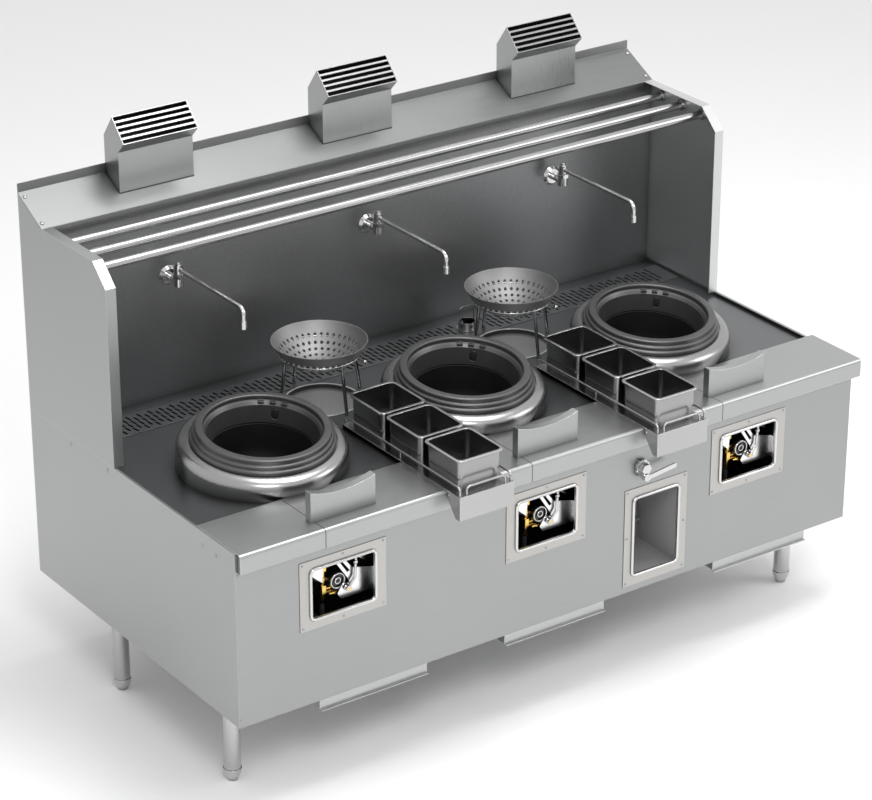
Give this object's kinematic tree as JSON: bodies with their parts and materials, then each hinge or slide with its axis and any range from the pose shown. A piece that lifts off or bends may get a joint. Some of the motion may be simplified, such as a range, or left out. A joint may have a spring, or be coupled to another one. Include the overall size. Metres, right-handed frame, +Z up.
{
  "type": "wok range",
  "caption": "Free-standing gas wok range with raised cast rings in a sunken deck, tall splash back with swivel faucets, pipe shelf and flue risers, condiment racks and strainers.",
  "frame": {"origin": "on the floor, under the middle of the whole object's bounding box", "axes": "+X runs along the front from left to right, +Y from the front to the back, +Z up"},
  "size_m": [2.156, 1.168, 1.6223],
  "materials": {
    "panel_steel": "brushed satin sheet",
    "deck_steel": "brushed satin sheet, darker in the splash back's shade",
    "collar_steel": "spun, with a bright shoulder",
    "cast_iron": "smooth dark grey casting",
    "black_pipe": "black painted pipe",
    "brass": "bright machined",
    "black_enamel": "gloss black",
    "bright_steel": "bright sheet",
    "bezel_steel": "pale satin pressing",
    "dark_steel": "shaded sheet",
    "chrome": "polished",
    "pipe_steel": "plain pipe",
    "screw_steel": "dull",
    "well_steel": "pale satin",
    "wire_steel": "polished wire",
    "strainer_steel": "spun and polished",
    "rack_steel": "satin sheet",
    "pan_steel": "satin pressing"
  },
  "bodies": {
    "cabinet": {"side_panel_left": "panel_steel", "side_panel_right": "panel_steel", "front_panel": "panel_steel", "back_panel": "panel_steel", "base_plate": "panel_steel", "tray_runners": "panel_steel", "deck": "deck_steel", "front_ledge": "panel_steel", "rear_trough": "deck_steel", "trough_cover": "deck_steel", "backsplash": "deck_steel", "splash_side_left": "panel_steel", "splash_side_right": "panel_steel", "splash_cap": "panel_steel", "flue_risers": "panel_steel", "shelf_tubes": "chrome", "wok_collars": "collar_steel", "fire_pots": "cast_iron", "gas_train": "black_pipe", "gas_valves": "brass", "gas_regulators": "black_enamel", "valve_brackets": "bright_steel", "window_bezels": "bezel_steel", "niche": "dark_steel", "faucet_bodies": "chrome", "water_pipes": "pipe_steel", "wok_rests": "panel_steel", "ladle_wells": "well_steel", "legs": "chrome", "screws": "screw_steel"},
    "wok_ring_1": {"wok_ring_1": "cast_iron"},
    "wok_ring_2": {"wok_ring_2": "cast_iron"},
    "wok_ring_3": {"wok_ring_3": "cast_iron"},
    "gas_lever_1": {"gas_lever_1": "chrome"},
    "gas_lever_2": {"gas_lever_2": "chrome"},
    "gas_lever_3": {"gas_lever_3": "chrome"},
    "spout_1": {"spout_1": "chrome"},
    "spout_2": {"spout_2": "chrome"},
    "spout_3": {"spout_3": "chrome"},
    "tap_lever": {"tap_lever": "chrome"},
    "strainer_stand_1": {"strainer_stand_1": "wire_steel"},
    "strainer_1": {"strainer_1": "strainer_steel"},
    "strainer_stand_2": {"strainer_stand_2": "wire_steel"},
    "strainer_2": {"strainer_2": "strainer_steel"},
    "drain_basket": {"drain_basket": "wire_steel"},
    "condiment_rack_1": {"condiment_rack_1": "rack_steel"},
    "pan_1_1": {"pan_1_1": "pan_steel"},
    "pan_1_2": {"pan_1_2": "pan_steel"},
    "pan_1_3": {"pan_1_3": "pan_steel"},
    "condiment_rack_2": {"condiment_rack_2": "rack_steel"},
    "pan_2_1": {"pan_2_1": "pan_steel"},
    "pan_2_2": {"pan_2_2": "pan_steel"},
    "pan_2_3": {"pan_2_3": "pan_steel"},
    "drip_tray_1": {"drip_tray_1": "panel_steel"},
    "drip_tray_2": {"drip_tray_2": "panel_steel"},
    "drip_tray_3": {"drip_tray_3": "panel_steel"},
    "foot_1": {"foot_1": "chrome"},
    "foot_2": {"foot_2": "chrome"},
    "foot_3": {"foot_3": "chrome"},
    "foot_4": {"foot_4": "chrome"}
  },
  "joints": [
    {"name": "wok_ring_1_lift", "type": "slide", "parent": "cabinet", "child": "wok_ring_1", "axis": [0, -0.1045, 0.9945], "range_m": [0, 0.12]},
    {"name": "wok_ring_2_lift", "type": "slide", "parent": "cabinet", "child": "wok_ring_2", "axis": [0, -0.1045, 0.9945], "range_m": [0, 0.12]},
    {"name": "wok_ring_3_lift", "type": "slide", "parent": "cabinet", "child": "wok_ring_3", "axis": [0, -0.1045, 0.9945], "range_m": [0, 0.12]},
    {"name": "gas_lever_1_turn", "type": "hinge", "parent": "cabinet", "child": "gas_lever_1", "pos_m": [-0.711, -0.484, 0.569], "axis": [0, 1, 0], "range_deg": [-55, 15]},
    {"name": "gas_lever_2_turn", "type": "hinge", "parent": "cabinet", "child": "gas_lever_2", "pos_m": [-0.034, -0.484, 0.569], "axis": [0, 1, 0], "range_deg": [-55, 15]},
    {"name": "gas_lever_3_turn", "type": "hinge", "parent": "cabinet", "child": "gas_lever_3", "pos_m": [0.696, -0.484, 0.569], "axis": [0, 1, 0], "range_deg": [-55, 15]},
    {"name": "spout_1_swivel", "type": "hinge", "parent": "cabinet", "child": "spout_1", "pos_m": [-0.685, 0.397, 1.187], "axis": [0, 0, 1], "range_deg": [-80, 80]},
    {"name": "spout_2_swivel", "type": "hinge", "parent": "cabinet", "child": "spout_2", "pos_m": [-0.007, 0.397, 1.187], "axis": [0, 0, 1], "range_deg": [-80, 80]},
    {"name": "spout_3_swivel", "type": "hinge", "parent": "cabinet", "child": "spout_3", "pos_m": [0.671, 0.397, 1.187], "axis": [0, 0, 1], "range_deg": [-80, 80]},
    {"name": "tap_lever_turn", "type": "hinge", "parent": "cabinet", "child": "tap_lever", "pos_m": [0.267, -0.54, 0.64], "axis": [0, 1, 0], "range_deg": [0, 90]},
    {"name": "strainer_stand_1_lift", "type": "slide", "parent": "cabinet", "child": "strainer_stand_1", "axis": [0, 0, 1], "range_m": [0, 0.05]},
    {"name": "strainer_1_lift", "type": "slide", "parent": "strainer_stand_1", "child": "strainer_1", "axis": [0, 0, 1], "range_m": [0, 0.1]},
    {"name": "strainer_stand_2_lift", "type": "slide", "parent": "cabinet", "child": "strainer_stand_2", "axis": [0, 0, 1], "range_m": [0, 0.05]},
    {"name": "strainer_2_lift", "type": "slide", "parent": "strainer_stand_2", "child": "strainer_2", "axis": [0, 0, 1], "range_m": [0, 0.1]},
    {"name": "drain_basket_lift", "type": "slide", "parent": "cabinet", "child": "drain_basket", "axis": [0, 0, 1], "range_m": [0, 0.06]},
    {"name": "condiment_rack_1_lift", "type": "slide", "parent": "cabinet", "child": "condiment_rack_1", "axis": [0, 0, 1], "range_m": [0, 0.1]},
    {"name": "pan_1_1_lift", "type": "slide", "parent": "condiment_rack_1", "child": "pan_1_1", "axis": [0, 0, 1], "range_m": [0, 0.12]},
    {"name": "pan_1_2_lift", "type": "slide", "parent": "condiment_rack_1", "child": "pan_1_2", "axis": [0, 0, 1], "range_m": [0, 0.12]},
    {"name": "pan_1_3_lift", "type": "slide", "parent": "condiment_rack_1", "child": "pan_1_3", "axis": [0, 0, 1], "range_m": [0, 0.12]},
    {"name": "condiment_rack_2_lift", "type": "slide", "parent": "cabinet", "child": "condiment_rack_2", "axis": [0, 0, 1], "range_m": [0, 0.1]},
    {"name": "pan_2_1_lift", "type": "slide", "parent": "condiment_rack_2", "child": "pan_2_1", "axis": [0, 0, 1], "range_m": [0, 0.12]},
    {"name": "pan_2_2_lift", "type": "slide", "parent": "condiment_rack_2", "child": "pan_2_2", "axis": [0, 0, 1], "range_m": [0, 0.12]},
    {"name": "pan_2_3_lift", "type": "slide", "parent": "condiment_rack_2", "child": "pan_2_3", "axis": [0, 0, 1], "range_m": [0, 0.12]},
    {"name": "drip_tray_1_pull", "type": "slide", "parent": "cabinet", "child": "drip_tray_1", "axis": [0, -1, 0], "range_m": [0, 0.45]},
    {"name": "drip_tray_2_pull", "type": "slide", "parent": "cabinet", "child": "drip_tray_2", "axis": [0, -1, 0], "range_m": [0, 0.45]},
    {"name": "drip_tray_3_pull", "type": "slide", "parent": "cabinet", "child": "drip_tray_3", "axis": [0, -1, 0], "range_m": [0, 0.45]},
    {"name": "foot_1_turn", "type": "hinge", "parent": "cabinet", "child": "foot_1", "pos_m": [-0.998, -0.333, 0.038], "axis": [0, 0, 1], "continuous": true},
    {"name": "foot_2_turn", "type": "hinge", "parent": "cabinet", "child": "foot_2", "pos_m": [0.978, -0.333, 0.038], "axis": [0, 0, 1], "continuous": true},
    {"name": "foot_3_turn", "type": "hinge", "parent": "cabinet", "child": "foot_3", "pos_m": [-0.998, 0.266, 0.038], "axis": [0, 0, 1], "continuous": true},
    {"name": "foot_4_turn", "type": "hinge", "parent": "cabinet", "child": "foot_4", "pos_m": [0.978, 0.266, 0.038], "axis": [0, 0, 1], "continuous": true}
  ]
}
